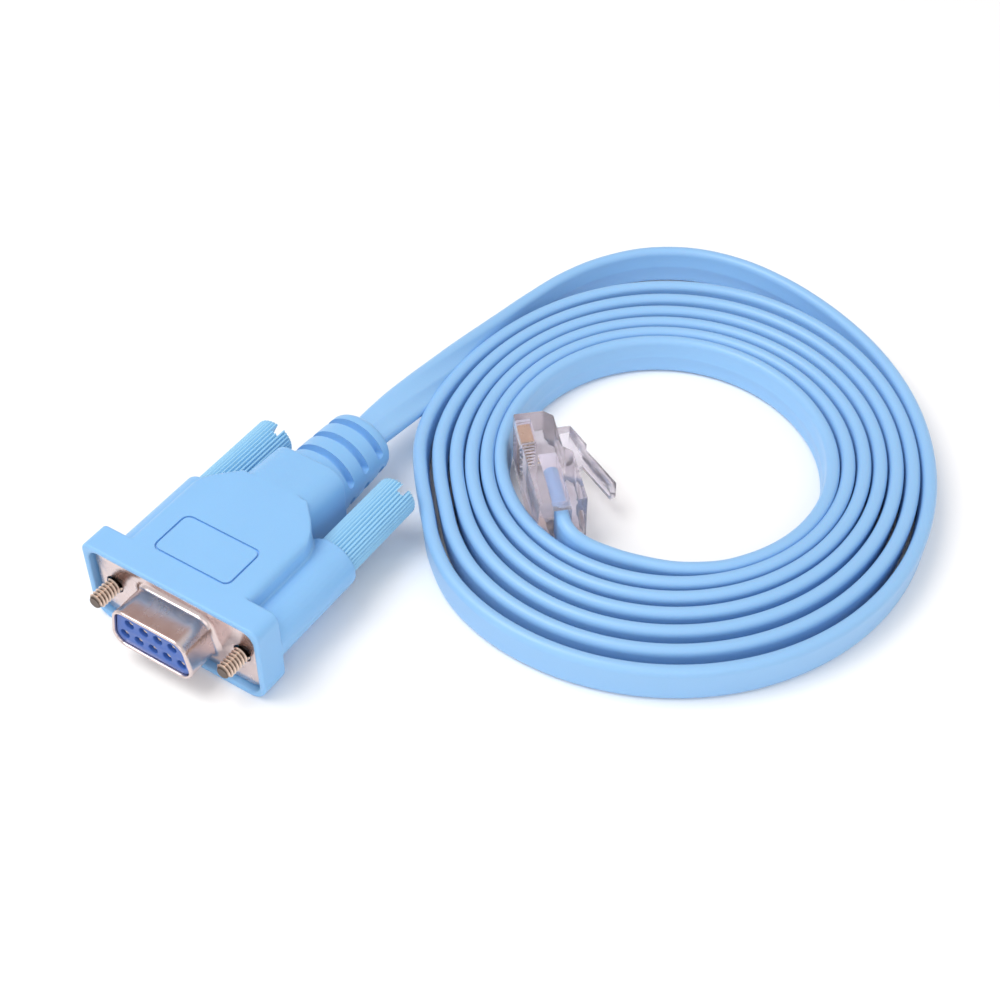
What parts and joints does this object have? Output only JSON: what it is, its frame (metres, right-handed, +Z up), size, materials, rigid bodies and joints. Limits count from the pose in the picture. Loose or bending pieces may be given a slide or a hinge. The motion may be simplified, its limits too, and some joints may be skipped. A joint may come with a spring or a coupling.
{
  "type": "rj45 console cable",
  "caption": "Flat console cable in a loose coil, with a moulded nine-way D-sub socket, two knurled thumbscrews and a clear modular plug with a latch.",
  "frame": {"origin": "on the surface that the connector lies on, under the middle of the connector's length and width", "axes": "+Z up, -Y the way the D-sub socket faces, +Y the way the cable leaves, +X across the two thumbscrews"},
  "size_m": [0.1042, 0.1319, 0.0156],
  "materials": {
    "hood": "satin moulded",
    "thumb_knob": "satin moulded",
    "cable_jacket": "smooth flexible",
    "socket_shell": "nickel plated, bright",
    "jackscrew": "nickel plated, warm",
    "insulator": "satin moulded",
    "contact": "gold plated",
    "clear_plastic": "clear, polished"
  },
  "bodies": {
    "root": {"hood": "hood", "socket_shell": "socket_shell", "insulator": "insulator", "contact_1": "contact", "contact_2": "contact", "contact_3": "contact", "contact_4": "contact", "contact_5": "contact", "contact_6": "contact", "contact_7": "contact", "contact_8": "contact", "contact_9": "contact", "flat_cable_lead": "cable_jacket", "flat_cable_coil": "cable_jacket", "flat_cable_plug_end": "cable_jacket", "plug_body": "clear_plastic", "plug_contact_1": "contact", "plug_contact_2": "contact", "plug_contact_3": "contact", "plug_contact_4": "contact", "plug_contact_5": "contact", "plug_contact_6": "contact", "plug_contact_7": "contact", "plug_contact_8": "contact"},
    "thumbscrew_left": {"thumb_knob_left": "thumb_knob", "jackscrew_left": "jackscrew"},
    "thumbscrew_right": {"thumb_knob_right": "thumb_knob", "jackscrew_right": "jackscrew"},
    "latch": {"plug_latch": "clear_plastic"}
  },
  "joints": [
    {"name": "thumbscrew_left_turn", "type": "hinge", "parent": "root", "child": "thumbscrew_left", "pos_m": [-0.0125, 0, 0.0078], "axis": [0, 1, 0], "continuous": true},
    {"name": "thumbscrew_right_turn", "type": "hinge", "parent": "root", "child": "thumbscrew_right", "pos_m": [0.0125, 0, 0.0078], "axis": [0, 1, 0], "continuous": true},
    {"name": "latch_press", "type": "hinge", "parent": "root", "child": "latch", "pos_m": [0.0268, 0.04522, 0.00585], "axis": [0, 0, -1], "range_deg": [0, 16], "stiffness_Nm_per_rad": 0.3}
  ]
}
